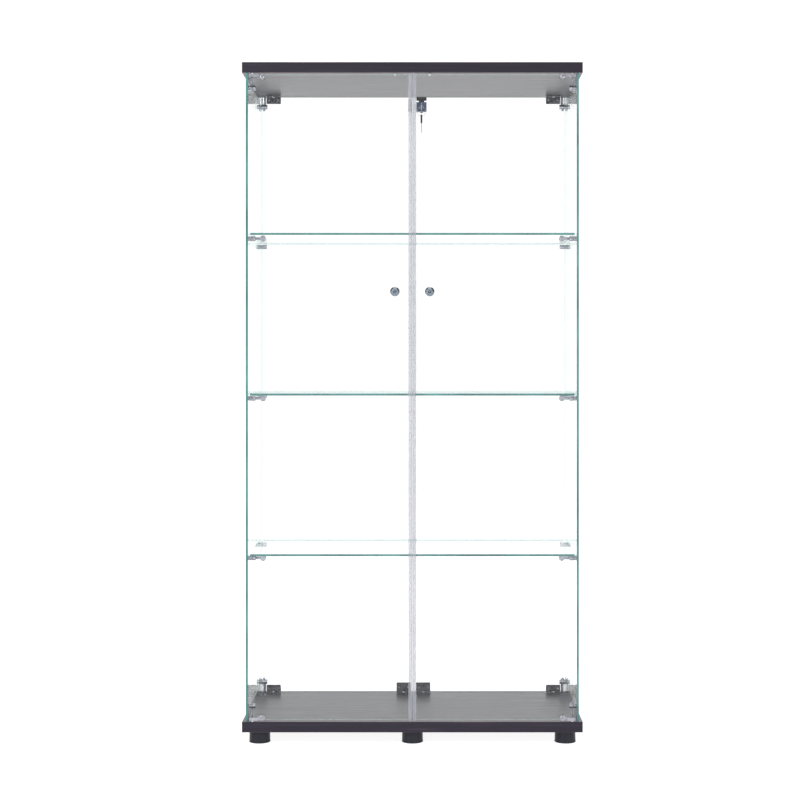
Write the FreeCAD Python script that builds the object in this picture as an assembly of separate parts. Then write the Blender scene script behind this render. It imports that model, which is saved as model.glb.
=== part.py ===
import FreeCAD, Part
import math
import os

# Two-door glass display case. Millimetres, +Z up, +X to the right as one faces the doors, doors
# towards -Y. The origin is on the floor, at the middle of the case's whole footprint.
# "Depth" in this file is the distance behind the front edges of the two boards.

# ---- Boards, feet and overall size ----
case_width = 805.0
case_depth = 370.0
board_thick = 25.0
band_thick = 1.0
glass_height = 1533.0
foot_height = 30.0
foot_base_radius = 25.5
foot_top_radius = 24.5
foot_rim_step = 0.5
foot_rim = 2.5
foot_side_inset = 38.5
foot_front_inset = 40.0
foot_screw_radius = 3.0
foot_screw_head_radius = 6.0
foot_screw_bite = 14.0

# ---- Glass ----
glass_thick = 5.0
side_overhang = 9.0
glass_front_setback = 3.0
glass_back_setback = 10.0
back_side_gap = 1.0
back_seam = 1.0
shelf_thick = 5.0
shelf_side_gap = 3.0
shelf_front_setback = 22.0
shelf_back_gap = 3.0
shelf_clear_height = 376.5
shelf_count = 3

# ---- Fixings through the side glass ----
stud_radius = 3.5
stud_hole_gap = 0.75
fit_gap = 0.1
cap_radius = 6.5
cap_thick = 4.0
cap_socket = 2.5
barrel_radius = 6.0
barrel_length = 13.5
rear_barrel_radius = 5.5
peg_front_depth = 50.0
peg_back_inset = 17.0
peg_end_reach = 31.5
peg_end_thick = 10.0
pad_thick = 1.0
pad_length = 9.0
pad_half_width = 3.5
connector_front_depth = 50.0
connector_back_inset = 23.0
connector_rise = 28.0
connector_tip = 5.0
connector_bite = 12.0
connector_stud_inset = 5.0
front_stud_radius = 2.25
rear_stud_radius = 3.5
rear_collar_radius = 4.8
slot_width = 1.2
slot_depth = 1.2

# ---- Clips that hold the back glass ----
clip_thick = 2.0
clip_width = 36.5
clip_height = 19.0
centre_clip_height = 25.0
clip_side_inset = 10.5
centre_clip_inset = 7.0
clip_rear_height = 12.0
clip_tongue = 23.0
clip_screw_radius = 2.0
clip_screw_head_radius = 4.4
clip_screw_head = 2.6
clip_screw_bite = 12.0
clip_grub_radius = 2.4
clip_grub_spacing = 23.0
clip_grub_proud = 1.2

# ---- Doors ----
door_side_gap = 2.0
door_end_gap = 2.0
door_centre_gap = 3.0
pivot_inset = 10.5
shoe_wall = 2.0
shoe_height = 8.0
shoe_length = 24.5
boss_radius = 7.0
boss_reach = 31.5
shoe_link_height = 6.0
shoe_edge_radius = 1.5
clamp_screw_radius = 2.4
clamp_screw_head_radius = 5.0
clamp_screw_head = 2.0
clamp_hole_gap = 0.8
pin_radius = 2.5
pin_run_gap = 0.05
pin_bite = 10.0
pin_collar_radius = 4.5
thrust_gap = 0.1
bush_band_gap = 0.5
bush_height = 12.0
seal_wall = 1.2
seal_width = 9.0
seal_meeting_gap = 0.6
seal_nose = 1.2
stop_radius = 3.5
stop_height = 5.0
stop_gap = 0.5
knob_inset = 41.0
knob_height = 1070.5
knob_radius = 11.2
knob_neck_radius = 5.5
knob_foot_radius = 7.5
knob_length = 20.0
knob_edge = 1.5
knob_screw_radius = 2.0
knob_screw_head_radius = 4.5
knob_screw_head = 2.5
knob_screw_bite = 6.0
knob_washer_radius = 6.5
knob_washer_thick = 1.0
knob_hole_gap = 0.6

# ---- Lock and keys ----
lock_width = 24.0
lock_height = 22.0
lock_case_thick = 12.0
lock_edge_radius = 1.2
lock_seal_gap = 0.3
lock_drop = 71.0
plug_drop = 13.0
plug_radius = 6.0
plug_run_gap = 0.06
plug_proud = 0.6
sleeve_radius = 8.0
sleeve_hole_gap = 0.5
sleeve_tail = 6.0
nut_flats = 18.0
nut_thick = 4.0
cam_thick = 2.0
cam_gap = 0.3
cam_neck_width = 13.0
cam_reach = 29.0
cam_head_height = 9.0
cam_screw_radius = 2.0
cam_screw_head_radius = 4.0
cam_screw_head = 2.0
cam_screw_bite = 6.0
key_thick = 2.0
key_blade_width = 6.0
key_blade_length = 17.0
key_slot_gap = 0.1
key_shoulder = 2.5
key_bow_length = 18.0
key_bow_height = 18.0
key_hole_radius = 2.5
key_hole_inset = 4.5
ring_radius = 10.4
ring_wire_radius = 0.8
ring_sag = 1.5
spare_head_thick = 4.3
spare_head_width = 17.0
spare_head_height = 20.0
spare_blade_thick = 1.7
spare_blade_width = 5.6
spare_blade_length = 22.5
spare_blade_bite = 8.0
spare_sag = 1.3
keeper_sheet = 1.5
keeper_height = 31.0
keeper_foot = 2.0
keeper_tip = 1.0
keeper_cam_gap = 0.4

# ---- Worked-out places ----
base_bottom = foot_height
base_top = base_bottom + board_thick
roof_bottom = base_top + glass_height
roof_top = roof_bottom + board_thick
side_outer = case_width / 2 - side_overhang
side_inner = side_outer - glass_thick
back_face = case_depth - glass_back_setback - glass_thick
door_face = glass_front_setback
door_back = door_face + glass_thick
door_mid = door_face + glass_thick / 2
bush_radius = door_mid - band_thick - bush_band_gap
shelf_back = back_face - shelf_back_gap
pivot_x = side_inner - pivot_inset
door_outer = side_inner - door_side_gap
door_bottom = base_top + door_end_gap
door_top = roof_bottom - door_end_gap
boss_x = door_outer - boss_reach
lock_left = seal_meeting_gap / 2 + seal_width + lock_seal_gap
lock_x = lock_left + lock_width / 2
lock_top = roof_bottom - lock_drop
plug_z = lock_top - plug_drop
lock_face = door_face - lock_case_thick
plug_face = lock_face - plug_proud
key_bow_start = plug_face - key_shoulder
key_tip = key_bow_start - key_bow_length
key_hole_depth = key_tip + key_hole_inset
sleeve_end = door_back + sleeve_tail
cam_face = sleeve_end + cam_gap
front_reach = max(-key_tip, spare_head_width / 2 - key_hole_depth)
front_y = (front_reach - case_depth) / 2
peg_end_radius = barrel_radius + pad_thick

shelf_tops = []
for number in range(shelf_count):
    shelf_tops.append(roof_bottom - (number + 1) * shelf_clear_height - number * shelf_thick)
shelf_names = ["upper", "middle", "lower"]
peg_depths = [peg_front_depth, shelf_back - peg_back_inset]
connector_rows = [
    (connector_front_depth, front_stud_radius, front_stud_radius),
    (case_depth - connector_back_inset, rear_stud_radius, rear_collar_radius),
]
connector_depths = [row[0] for row in connector_rows]
connector_heights = [base_top + connector_rise, roof_bottom - connector_rise]

ALONG_X = FreeCAD.Vector(1, 0, 0)
ALONG_Y = FreeCAD.Vector(0, 1, 0)
ALONG_Z = FreeCAD.Vector(0, 0, 1)


# ---- Building blocks ----
def point(x, depth, z):
    return FreeCAD.Vector(x, front_y + depth, z)


def block(x0, x1, depth0, depth1, z0, z1):
    return Part.makeBox(x1 - x0, depth1 - depth0, z1 - z0, point(x0, depth0, z0))


def rod(radius, start, direction, length):
    return Part.makeCylinder(radius, length, start, direction)


def turned(profile, start, direction):
    """A solid of revolution from (along, radius) points, open at the axis."""
    across = ALONG_Z if abs(direction.z) < 0.5 else ALONG_X
    corners = [start + direction * profile[0][0]]
    for along, radius in profile:
        corners.append(start + direction * along + across * radius)
    corners.append(start + direction * profile[-1][0])
    outline = Part.makePolygon(corners + [corners[0]])
    return Part.Face(outline).revolve(start, direction, 360)


def mirrored(shape):
    return shape.mirror(FreeCAD.Vector(0, 0, 0), ALONG_X)


def both_sides(shapes):
    return shapes + [mirrored(shape) for shape in shapes]


def cross_slots(centre, direction, radius):
    """The two crossed slots of a screw head, cut along direction from its face."""
    side = ALONG_X if abs(direction.x) < 0.5 else ALONG_Y
    up = direction.cross(side)
    cutters = []
    for lengthwise, crosswise in [(side, up), (up, side)]:
        corner = centre - lengthwise * (radius * 0.62) - crosswise * (slot_width / 2)
        long_edge = lengthwise * (radius * 1.24)
        short_edge = crosswise * slot_width
        outline = [corner, corner + long_edge, corner + long_edge + short_edge, corner + short_edge, corner]
        cutters.append(Part.Face(Part.makePolygon(outline)).extrude(direction * slot_depth))
    return cutters[0].fuse(cutters[1])


def screw(head_radius, head_height, shank_radius, shank_length, seat, direction):
    """A pan-head screw: its head stands on seat, its shank runs along direction."""
    crown = head_height * 0.4
    profile = [
        (-head_height, head_radius - crown),
        (-head_height + crown, head_radius),
        (0, head_radius),
        (0, shank_radius),
        (shank_length, shank_radius),
    ]
    body = turned(profile, seat, direction)
    return body.cut(cross_slots(seat - direction * head_height, direction, head_radius))


def save(name, shapes):
    solids = []
    for shape in shapes:
        solids.extend(shape.Solids)
    result = solids[0] if len(solids) == 1 else Part.makeCompound(solids)
    result.exportStep("parts/" + name + ".step")


# ---- Boards, their edge bands and the feet ----
def foot_places():
    reach = case_width / 2 - foot_side_inset
    rows = {"front": foot_front_inset, "back": case_depth - foot_front_inset}
    return {row: [(x, depth) for x in (-reach, 0.0, reach)] for row, depth in rows.items()}


def board_core(z0, z1):
    half = case_width / 2 - band_thick
    return block(-half, half, band_thick, case_depth - band_thick, z0, z1)


def edge_band(z0, z1):
    half = case_width / 2
    return block(-half, half, 0, case_depth, z0, z1).cut(board_core(z0, z1))


def board_holes(face_z, upward):
    """Blind holes that both boards share: door bushes and glass connectors."""
    direction = ALONG_Z if upward else -ALONG_Z
    holes = [rod(bush_radius, point(pivot_x, door_mid, face_z), direction, bush_height)]
    for depth, core_radius, collar_radius in connector_rows:
        start = point(side_inner - connector_stud_inset, depth, face_z)
        holes.append(rod(core_radius + fit_gap, start, direction, connector_bite))
    for x, depth in clip_screw_places(upward):
        holes.append(rod(clip_screw_radius + fit_gap, point(x, depth, face_z), direction, clip_screw_bite))
    return both_sides(holes)


def make_boards():
    roof = board_core(roof_bottom, roof_top)
    for hole in board_holes(roof_bottom, True):
        roof = roof.cut(hole)
    base = board_core(base_bottom, base_top)
    for hole in board_holes(base_top, False):
        base = base.cut(hole)
    for places in foot_places().values():
        for x, depth in places:
            start = point(x, depth, base_bottom)
            base = base.cut(rod(foot_screw_radius + fit_gap, start, ALONG_Z, foot_screw_bite))
    save("top_board", [roof])
    save("base_board", [base])
    save("top_edge_band", [edge_band(roof_bottom, roof_top)])
    save("base_edge_band", [edge_band(base_bottom, base_top)])


def foot(x, depth):
    wall_radius = foot_base_radius - foot_rim_step
    profile = [
        (0, foot_base_radius - 0.8),
        (0.8, foot_base_radius),
        (foot_rim, foot_base_radius),
        (foot_rim + 0.8, wall_radius),
        (foot_height - 1.5, foot_top_radius),
        (foot_height, foot_top_radius - 1.0),
    ]
    body = turned(profile, point(x, depth, 0), ALONG_Z)
    socket = rod(foot_screw_head_radius + 1.5, point(x, depth, 0), ALONG_Z, foot_height * 0.6)
    hole = rod(foot_screw_radius + fit_gap, point(x, depth, 0), ALONG_Z, foot_height)
    return body.cut(socket).cut(hole)


def make_feet():
    screws = []
    for row, places in foot_places().items():
        save("feet_" + row, [foot(x, depth) for x, depth in places])
        for x, depth in places:
            seat = point(x, depth, foot_height * 0.6)
            length = foot_height * 0.4 + foot_screw_bite - 1.0
            screws.append(screw(foot_screw_head_radius, 3.0, foot_screw_radius, length, seat, ALONG_Z))
    save("foot_screws", screws)


# ---- Glass panes ----
def fixing_places():
    """Every (depth, height) where a stud passes through the side glass."""
    places = [(depth, z) for depth in connector_depths for z in connector_heights]
    for top in shelf_tops:
        places.extend((depth, peg_axis(top)) for depth in peg_depths)
    return places


def peg_axis(shelf_top):
    return shelf_top - shelf_thick - peg_end_radius


def make_fixed_glass():
    pane = block(side_inner, side_outer, door_face, case_depth - glass_back_setback, base_top, roof_bottom)
    for depth, z in fixing_places():
        hole = rod(stud_radius + stud_hole_gap, point(side_inner - 1, depth, z), ALONG_X, glass_thick + 2)
        pane = pane.cut(hole)
    save("side_glass_right", [pane])
    save("side_glass_left", [mirrored(pane)])
    back = block(
        back_seam / 2,
        side_inner - back_side_gap,
        back_face,
        back_face + glass_thick,
        base_top + clip_thick,
        roof_bottom - clip_thick,
    )
    save("back_glass_right", [back])
    save("back_glass_left", [mirrored(back)])
    half = side_inner - shelf_side_gap
    for name, top in zip(shelf_names, shelf_tops):
        save("shelf_" + name, [block(-half, half, shelf_front_setback, shelf_back, top - shelf_thick, top)])


# ---- Shelf pegs and glass connectors ----
def fixing_barrel(depth, z, radius):
    """A barrel inside the glass with its stud, which ends inside the outer cap."""
    barrel = turned(
        [(0, radius - 0.6), (0.6, radius), (barrel_length, radius)],
        point(side_inner - barrel_length, depth, z),
        ALONG_X,
    )
    stud_length = glass_thick + cap_socket - fit_gap
    return barrel.fuse(rod(stud_radius, point(side_inner, depth, z), ALONG_X, stud_length))


def fixing_cap(depth, z):
    profile = [
        (0, cap_radius),
        (cap_thick - 1.2, cap_radius),
        (cap_thick - 0.35, cap_radius - 0.5),
        (cap_thick, cap_radius - 1.6),
    ]
    cap = turned(profile, point(side_outer, depth, z), ALONG_X)
    return cap.cut(rod(stud_radius + fit_gap, point(side_outer, depth, z), ALONG_X, cap_socket))


def front_peg(z):
    """A front shelf peg: barrel, slim neck and a round slotted end under the shelf."""
    depth = peg_front_depth
    end_x = side_inner - peg_end_reach
    neck = rod(stud_radius, point(end_x, depth, z), ALONG_X, peg_end_reach - barrel_length + 0.5)
    face = point(end_x, depth - peg_end_thick / 2, z)
    profile = [
        (0, peg_end_radius - 1.0),
        (1.0, peg_end_radius),
        (peg_end_thick - 1.0, peg_end_radius),
        (peg_end_thick, peg_end_radius - 1.0),
    ]
    end = turned(profile, face, ALONG_Y)
    body = fixing_barrel(depth, z, barrel_radius).fuse(neck).fuse(end)
    return body.cut(cross_slots(face, ALONG_Y, peg_end_radius * 0.8)).removeSplitter()


def peg_pad(depth, z, radius):
    """A clear pad between a peg's barrel and the shelf that rests on it."""
    middle = side_inner - shelf_side_gap - pad_length / 2
    low = z + radius * 0.8
    pad = block(
        middle - pad_length / 2,
        middle + pad_length / 2,
        depth - pad_half_width,
        depth + pad_half_width,
        low,
        z + peg_end_radius,
    )
    return pad.cut(rod(radius, point(middle - pad_length, depth, z), ALONG_X, pad_length * 2))


def make_shelf_pegs():
    front = []
    rear = []
    pads = []
    for top in shelf_tops:
        z = peg_axis(top)
        front.append(front_peg(z))
        rear.append(fixing_barrel(peg_depths[1], z, rear_barrel_radius))
        pads.append(peg_pad(peg_depths[0], z, barrel_radius))
        pads.append(peg_pad(peg_depths[1], z, rear_barrel_radius))
    save("front_shelf_pegs", both_sides(front))
    save("back_shelf_pegs", both_sides(rear))
    save("shelf_pads", both_sides(pads))


def make_connectors():
    """Barrels on the side glass, each drilled for an upright stud; a rear stud has a collar."""
    barrels = []
    studs = []
    stud_x = side_inner - connector_stud_inset
    for depth, core_radius, collar_radius in connector_rows:
        for z, board_face, sense in [
            (connector_heights[0], base_top, 1),
            (connector_heights[1], roof_bottom, -1),
        ]:
            start = point(stud_x, depth, board_face - sense * (connector_bite - 1.0))
            length = connector_bite - 1.0 + connector_rise + barrel_radius + connector_tip
            direction = ALONG_Z * sense
            stud = rod(core_radius, start, direction, length)
            collar_start = point(stud_x, depth, board_face)
            collar = rod(collar_radius, collar_start, direction, connector_rise - barrel_radius)
            studs.append(stud.fuse(collar).removeSplitter())
            barrel = fixing_barrel(depth, z, barrel_radius)
            barrels.append(barrel.cut(rod(core_radius + fit_gap, start, direction, length)))
    save("glass_connectors", both_sides(barrels))
    save("connector_studs", both_sides(studs))
    save("fixing_caps", both_sides([fixing_cap(depth, z) for depth, z in fixing_places()]))


# ---- Clips that hold the back glass to the boards ----
def clip_spans(upward):
    """Each clip's lowest x and height: one at the side, and one by the seam on the base."""
    outer = side_inner - clip_side_inset
    spans = [("corner", outer - clip_width, clip_height)]
    if not upward:
        spans.append(("centre", centre_clip_inset, centre_clip_height))
    return spans


def clip_screw_places(upward):
    depth = back_face - clip_thick - clip_tongue / 2
    return [(x0 + clip_width / 2, depth) for name, x0, height in clip_spans(upward)]


def back_clip(x0, height, board_face, sense):
    """A bent steel clip: a tongue on the board and two walls that hold the pane."""
    x1 = x0 + clip_width
    walls = [
        (back_face - clip_thick - clip_tongue, back_face + glass_thick + clip_thick, clip_thick),
        (back_face - clip_thick, back_face, height),
        (back_face + glass_thick, back_face + glass_thick + clip_thick, clip_rear_height),
    ]
    body = None
    for depth0, depth1, rise in walls:
        low = min(board_face, board_face + sense * rise)
        wall = block(x0, x1, depth0, depth1, low, low + rise)
        body = wall if body is None else body.fuse(wall)
    middle = (x0 + x1) / 2
    tongue_mid = back_face - clip_thick - clip_tongue / 2
    start = point(middle, tongue_mid, board_face)
    body = body.cut(rod(clip_screw_radius + fit_gap, start, ALONG_Z * sense, clip_thick))
    for side in (-1, 1):
        grub_x = middle + side * clip_grub_spacing / 2
        start = point(grub_x, back_face - clip_thick, board_face + sense * height / 2)
        body = body.cut(rod(clip_grub_radius, start, ALONG_Y, clip_thick))
    return body.removeSplitter()


def clip_grub(x, z):
    length = clip_thick + clip_grub_proud
    start = point(x, back_face - length, z)
    body = rod(clip_grub_radius, start, ALONG_Y, length)
    return body.cut(cross_slots(start, ALONG_Y, clip_grub_radius))


def make_back_clips():
    screws = []
    grubs = []
    for level, board_face, sense in [("top", roof_bottom, -1), ("bottom", base_top, 1)]:
        for name, x0, height in clip_spans(level == "top"):
            clip = back_clip(x0, height, board_face, sense)
            save("back_clip_" + level + "_" + name + "_right", [clip])
            save("back_clip_" + level + "_" + name + "_left", [mirrored(clip)])
            middle = x0 + clip_width / 2
            for side in (-1, 1):
                grub_x = middle + side * clip_grub_spacing / 2
                grubs.append(clip_grub(grub_x, board_face + sense * height / 2))
        for x, depth in clip_screw_places(level == "top"):
            seat = point(x, depth, board_face + sense * clip_thick)
            length = clip_screw_bite + clip_thick - 1.0
            inward = ALONG_Z * -sense
            head_radius = clip_screw_head_radius
            screws.append(screw(head_radius, clip_screw_head, clip_screw_radius, length, seat, inward))
    save("back_clip_screws", both_sides(screws))
    save("back_clip_grub_screws", both_sides(grubs))


# ---- Doors: glass, seal, pivots and knobs, built on the right and mirrored ----
def boss_height(at_top):
    return door_top - boss_radius if at_top else door_bottom + boss_radius


def door_glass(has_lock):
    low = door_bottom + shoe_wall
    high = door_top - shoe_wall
    pane = block(door_centre_gap, door_outer, door_face, door_back, low, high)
    through = glass_thick + 2
    holes = [
        (clamp_screw_radius + clamp_hole_gap, boss_x, boss_height(True)),
        (clamp_screw_radius + clamp_hole_gap, boss_x, boss_height(False)),
        (knob_screw_radius + knob_hole_gap, knob_inset, knob_height),
    ]
    if has_lock:
        holes.append((sleeve_radius + sleeve_hole_gap, lock_x, plug_z))
    for radius, x, z in holes:
        pane = pane.cut(rod(radius, point(x, door_face - 1, z), ALONG_Y, through))
    return pane


def door_seal():
    """A clear strip pushed over the meeting edge: two walls, a web and a soft nose."""
    tip = seal_meeting_gap / 2
    front = door_face - seal_wall
    back = door_back + seal_wall
    outer = block(tip + seal_nose, tip + seal_width, front, back, door_bottom, door_top)
    groove = block(door_centre_gap, tip + seal_width, door_face, door_back, door_bottom, door_top)
    nose = block(tip, tip + seal_nose, door_mid - 1.5, door_mid + 1.5, door_bottom, door_top)
    return outer.cut(groove).fuse(nose).removeSplitter()


def hinge_shoe(at_top):
    """The clamp at a door's outer corner: a channel that carries the pin, and a round boss."""
    z_end = door_top if at_top else door_bottom
    sense = -1 if at_top else 1
    z_in = z_end + sense * shoe_height
    low, high = min(z_end, z_in), max(z_end, z_in)
    front = door_face - shoe_wall
    back = door_back + shoe_wall
    bar = block(door_outer - shoe_length, door_outer, front, back, low, high)
    bar = bar.makeFillet(shoe_edge_radius, upright_edges(bar))
    boss = rod(boss_radius, point(boss_x, front, boss_height(at_top)), ALONG_Y, back - front)
    mid = boss_height(at_top)
    link_half = shoe_link_height / 2
    link = block(boss_x, door_outer - shoe_length + 2, front, back, mid - link_half, mid + link_half)
    body = bar.fuse(boss).fuse(link)
    pane_low = door_bottom + shoe_wall
    pane_high = door_top - shoe_wall
    slot = block(boss_x - boss_radius - 1, door_outer + 1, door_face, door_back, pane_low, pane_high)
    body = body.cut(slot)
    hole_start = point(boss_x, front - 1, boss_height(at_top))
    body = body.cut(rod(clamp_screw_radius + fit_gap, hole_start, ALONG_Y, back - front + 2))
    web_hole = point(pivot_x, door_mid, z_end)
    body = body.cut(rod(pin_radius, web_hole, ALONG_Z * sense, shoe_wall))
    return body


def upright_edges(bar):
    edges = []
    for edge in bar.Edges:
        run = edge.Vertexes[1].Point - edge.Vertexes[0].Point
        if abs(run.z) > abs(run.x) + abs(run.y):
            edges.append(edge)
    return edges


def hinge_pin(at_top):
    """A pin fixed in the shoe's web; the lower one has a collar that carries the door."""
    if at_top:
        start = point(pivot_x, door_mid, door_top - shoe_wall)
        return rod(pin_radius, start, ALONG_Z, shoe_wall + door_end_gap + pin_bite)
    start = point(pivot_x, door_mid, door_bottom + shoe_wall)
    pin = rod(pin_radius, start, -ALONG_Z, shoe_wall + door_end_gap + pin_bite)
    collar_start = point(pivot_x, door_mid, base_top + thrust_gap)
    return pin.fuse(rod(pin_collar_radius, collar_start, ALONG_Z, door_end_gap - thrust_gap))


def pivot_bush(at_top):
    face_z = roof_bottom if at_top else base_top
    direction = ALONG_Z if at_top else -ALONG_Z
    start = point(pivot_x, door_mid, face_z)
    body = rod(bush_radius, start, direction, bush_height)
    return body.cut(rod(pin_radius + pin_run_gap, start, direction, pin_bite + 1.0))


def clamp_screw(at_top):
    seat = point(boss_x, door_face - shoe_wall, boss_height(at_top))
    length = glass_thick + 2 * shoe_wall
    return screw(clamp_screw_head_radius, clamp_screw_head, clamp_screw_radius, length, seat, ALONG_Y)


def knob():
    """A turned knob: foot on the glass, slim neck, and a flared head with a dished face."""
    profile = [
        (0, knob_radius * 0.45),
        (0.0, knob_radius - knob_edge - 1.2),
        (knob_edge * 0.5, knob_radius - 0.6),
        (knob_edge, knob_radius),
        (knob_edge + 3.0, knob_radius),
        (knob_edge + 5.5, knob_radius - 2.2),
        (knob_length * 0.55, knob_neck_radius),
        (knob_length - 3.5, knob_neck_radius),
        (knob_length - 1.5, knob_foot_radius),
        (knob_length, knob_foot_radius),
    ]
    start = point(knob_inset, door_face - knob_length, knob_height)
    body = turned(profile, start, ALONG_Y)
    dish_radius = knob_radius * 2.4
    dish_depth = door_face - knob_length - dish_radius + 1.0
    dish = Part.makeSphere(dish_radius, point(knob_inset, dish_depth, knob_height))
    hole_start = point(knob_inset, door_face, knob_height)
    return body.cut(dish).cut(rod(knob_screw_radius + fit_gap, hole_start, -ALONG_Y, knob_screw_bite + 1.0))


def knob_washer():
    start = point(knob_inset, door_back, knob_height)
    return rod(knob_washer_radius, start, ALONG_Y, knob_washer_thick).cut(
        rod(knob_screw_radius + fit_gap, start, ALONG_Y, knob_washer_thick)
    )


def knob_screw():
    seat = point(knob_inset, door_back + knob_washer_thick, knob_height)
    length = knob_washer_thick + glass_thick + knob_screw_bite
    return screw(knob_screw_head_radius, knob_screw_head, knob_screw_radius, length, seat, -ALONG_Y)


def make_doors():
    for side in ("right", "left"):
        place = mirrored if side == "left" else (lambda shape: shape)
        save("door_glass_" + side, [place(door_glass(side == "right"))])
        save("door_seal_" + side, [place(door_seal())])
        save("hinge_shoe_top_" + side, [place(hinge_shoe(True))])
        save("hinge_shoe_bottom_" + side, [place(hinge_shoe(False))])
        save("hinge_pins_" + side, [place(hinge_pin(True)), place(hinge_pin(False))])
        save("hinge_screws_" + side, [place(clamp_screw(True)), place(clamp_screw(False))])
        save("knob_" + side, [place(knob())])
        save("knob_washer_" + side, [place(knob_washer())])
        save("knob_screw_" + side, [place(knob_screw())])
    save("pivot_bushes", both_sides([pivot_bush(True), pivot_bush(False)]))
    stop_start = point(knob_inset, door_back + stop_gap + stop_radius, roof_bottom)
    save("door_stops", both_sides([rod(stop_radius, stop_start, -ALONG_Z, stop_height)]))


# ---- Cam lock on the right door, its keeper on the left door, and the keys ----
def make_lock():
    lock_bottom = lock_top - lock_height
    case = block(lock_left, lock_left + lock_width, lock_face, door_face, lock_bottom, lock_top)
    case = case.makeFillet(lock_edge_radius, edges_along_depth(case))
    sleeve = rod(sleeve_radius, point(lock_x, door_face, plug_z), ALONG_Y, sleeve_end - door_face)
    bore_start = point(lock_x, lock_face - 1, plug_z)
    bore = rod(plug_radius + plug_run_gap, bore_start, ALONG_Y, sleeve_end - lock_face + 2)
    save("lock_case", [case.fuse(sleeve).cut(bore)])
    save("lock_nut", [hexagon_nut()])
    plug = rod(plug_radius, point(lock_x, plug_face, plug_z), ALONG_Y, cam_face - plug_face)
    slot_half = key_thick / 2 + key_slot_gap
    blade_half = key_blade_width / 2 + key_slot_gap
    slot = block(
        lock_x - slot_half,
        lock_x + slot_half,
        plug_face - 1,
        plug_face + key_blade_length + 0.5,
        plug_z - blade_half,
        plug_z + blade_half,
    )
    screw_hole = rod(cam_screw_radius + fit_gap, point(lock_x, cam_face, plug_z), -ALONG_Y, cam_screw_bite)
    save("lock_plug", [plug.cut(slot).cut(screw_hole)])
    neck = block(
        lock_x - cam_neck_width / 2,
        lock_x + cam_neck_width / 2,
        cam_face,
        cam_face + cam_thick,
        plug_z,
        plug_z + cam_reach - cam_head_height + 0.5,
    )
    disc = rod(cam_neck_width / 2, point(lock_x, cam_face, plug_z), ALONG_Y, cam_thick)
    head = block(
        lock_left,
        lock_left + lock_width,
        cam_face,
        cam_face + cam_thick,
        plug_z + cam_reach - cam_head_height,
        plug_z + cam_reach,
    )
    cam = neck.fuse(disc).fuse(head)
    cam = cam.cut(rod(cam_screw_radius + fit_gap, point(lock_x, cam_face, plug_z), ALONG_Y, cam_thick))
    save("lock_cam", [cam.removeSplitter()])
    seat = point(lock_x, cam_face + cam_thick, plug_z)
    length = cam_thick + cam_screw_bite - 0.5
    cam_screw = screw(cam_screw_head_radius, cam_screw_head, cam_screw_radius, length, seat, -ALONG_Y)
    save("cam_screw", [cam_screw])
    save("lock_keeper", [mirrored(keeper())])


def edges_along_depth(shape):
    edges = []
    for edge in shape.Edges:
        run = edge.Vertexes[1].Point - edge.Vertexes[0].Point
        if abs(run.y) > abs(run.x) + abs(run.z):
            edges.append(edge)
    return edges


def hexagon_nut():
    corner_radius = nut_flats / math.sqrt(3)
    corners = []
    for step in range(7):
        angle = math.radians(60 * step + 30)
        x = lock_x + corner_radius * math.cos(angle)
        corners.append(point(x, door_back, plug_z + corner_radius * math.sin(angle)))
    nut = Part.Face(Part.makePolygon(corners)).extrude(ALONG_Y * nut_thick)
    return nut.cut(rod(sleeve_radius + fit_gap, point(lock_x, door_back, plug_z), ALONG_Y, nut_thick))


def keeper():
    """A folded plate bonded inside the other door, which the cam turns behind."""
    centre_z = plug_z + keeper_height / 2 - lock_width / 2 + 4.0
    low = centre_z - keeper_height / 2
    high = centre_z + keeper_height / 2
    seal_edge = seal_meeting_gap / 2 + seal_width + lock_seal_gap
    seal_back = door_back + seal_wall + 0.2
    foot_end = seal_edge + keeper_foot
    foot_plate = block(seal_edge, foot_end, door_back, seal_back + keeper_sheet, low, high)
    leaf = block(keeper_tip, foot_end, seal_back, seal_back + keeper_sheet, low, high)
    lip_end = cam_face - keeper_cam_gap
    lip = block(keeper_tip, keeper_tip + keeper_sheet, seal_back, lip_end, low, high)
    return foot_plate.fuse(leaf).fuse(lip).removeSplitter()


def make_keys():
    half = key_thick / 2
    bow_mid = (key_bow_start + key_tip) / 2
    low = plug_z - key_bow_height / 2
    bow = block(lock_x - half, lock_x + half, key_tip, key_bow_start, low, low + key_bow_height)
    rounding = [edge for edge in bow.Edges if edge.Length < key_thick + 0.01]
    bow = bow.makeFillet(key_bow_height * 0.4, rounding)
    blade = block(
        lock_x - half,
        lock_x + half,
        bow_mid,
        plug_face + key_blade_length,
        plug_z - key_blade_width / 2,
        plug_z + key_blade_width / 2,
    )
    hole = rod(key_hole_radius, point(lock_x - half - 1, key_hole_depth, plug_z), ALONG_X, key_thick + 2)
    save("key", [bow.fuse(blade).cut(hole).removeSplitter()])
    ring_mid = plug_z - ring_sag - ring_radius
    ring = Part.makeTorus(ring_radius, ring_wire_radius, point(lock_x, key_hole_depth, ring_mid), ALONG_Y)
    save("key_ring", [ring])
    hole_z = ring_mid - ring_radius - spare_sag
    make_spare_key(hole_z)


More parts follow.
